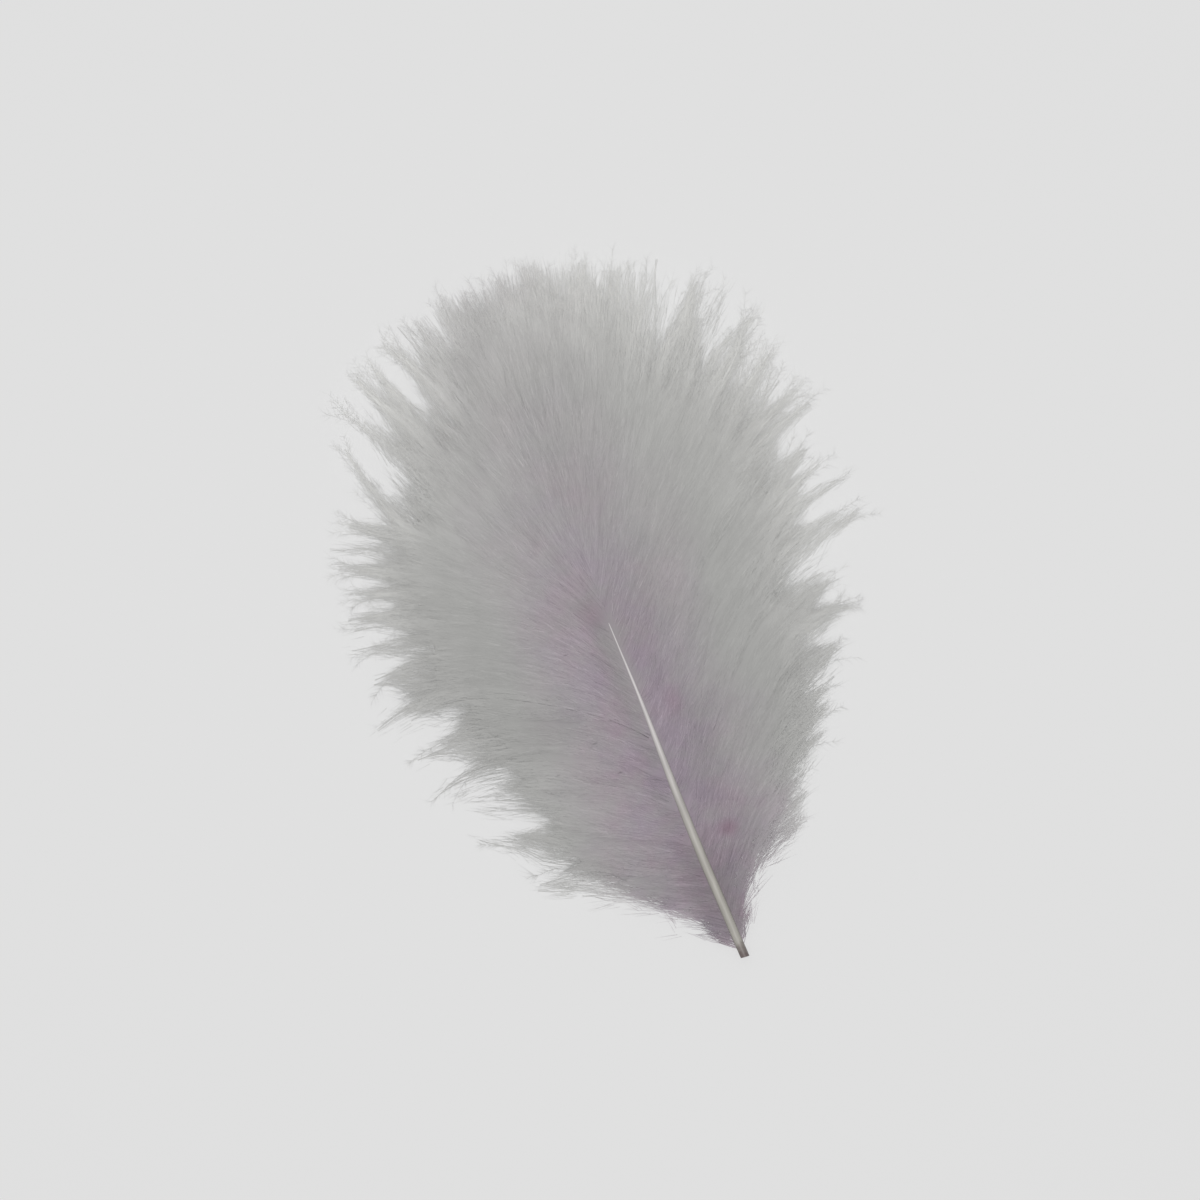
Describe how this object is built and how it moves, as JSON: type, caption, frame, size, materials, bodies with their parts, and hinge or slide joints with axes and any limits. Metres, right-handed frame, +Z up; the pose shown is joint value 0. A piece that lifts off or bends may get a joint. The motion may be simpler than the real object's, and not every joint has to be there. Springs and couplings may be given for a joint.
{
  "type": "marabou feather",
  "caption": "Soft grey marabou plume: loose locks of down fanning from a pale tapering shaft, laid flat as trim or craft stock.",
  "frame": {"origin": "the middle of the feather seen from above, on the surface that it lies on", "axes": "+Y along the feather from the foot of the shaft to the tip of the plume, +X to the right seen from above, +Z up"},
  "size_m": [0.092, 0.1251, 0.0079],
  "materials": {
    "down": "soft grey down with a breath of mauve beside the shaft, no shine",
    "quill": "pale horn, satin, dark at its cut foot"
  },
  "bodies": {
    "root": {"feather": "down"}
  },
  "joints": []
}
